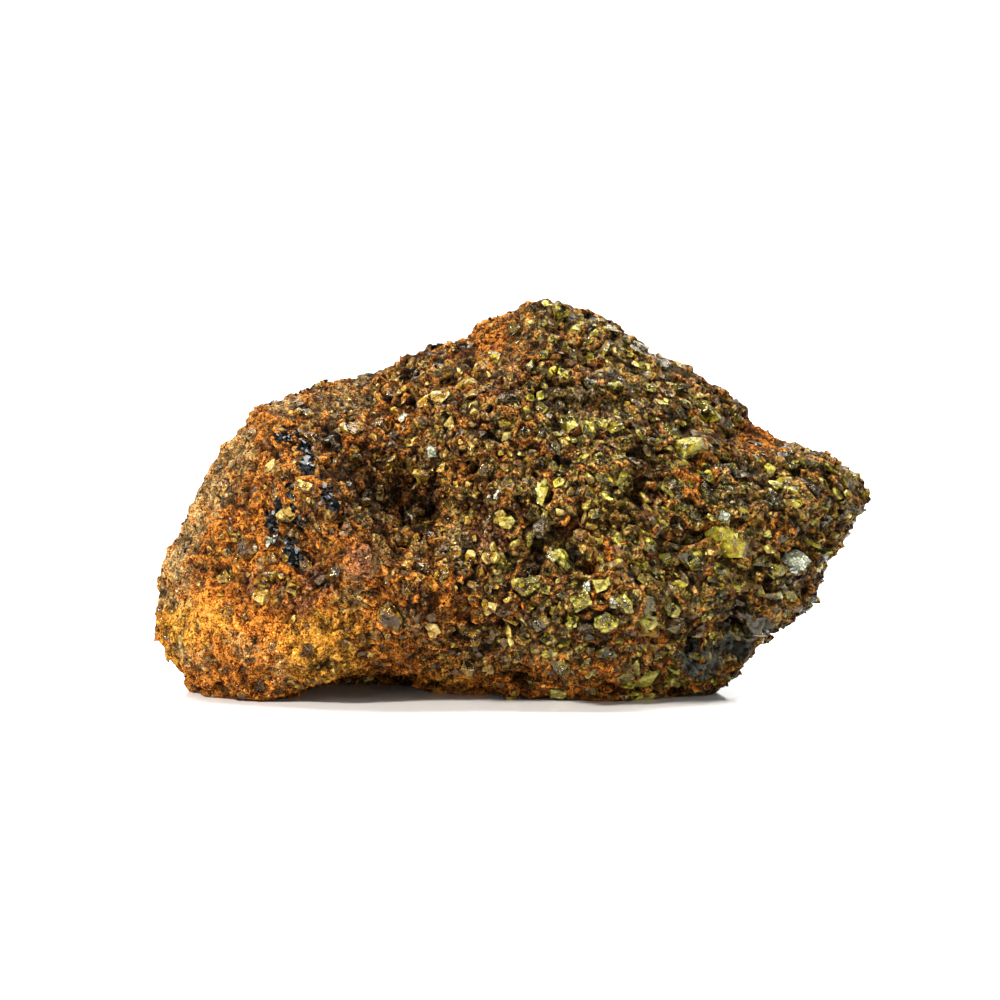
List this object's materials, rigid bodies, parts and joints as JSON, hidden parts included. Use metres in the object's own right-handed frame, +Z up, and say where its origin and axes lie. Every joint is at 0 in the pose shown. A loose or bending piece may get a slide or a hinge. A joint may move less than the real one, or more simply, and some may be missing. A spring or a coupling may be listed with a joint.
{
  "type": "pallasite meteorite",
  "caption": "Weathered stony-iron meteorite: translucent olivine crystals packed in a rusted nickel-iron network, blunt at one end and pointed at the other, standing on its flattened base.",
  "frame": {"origin": "on the plane that the stone rests on, at the middle of its length and depth", "axes": "+X along the stone's length towards its pointed end, +Y from its best face to its back, +Z up"},
  "size_m": [0.179, 0.106, 0.097],
  "materials": {
    "rusted_iron": "rough rust with glossy crystals"
  },
  "bodies": {
    "root": {"meteorite": "rusted_iron"}
  },
  "joints": []
}
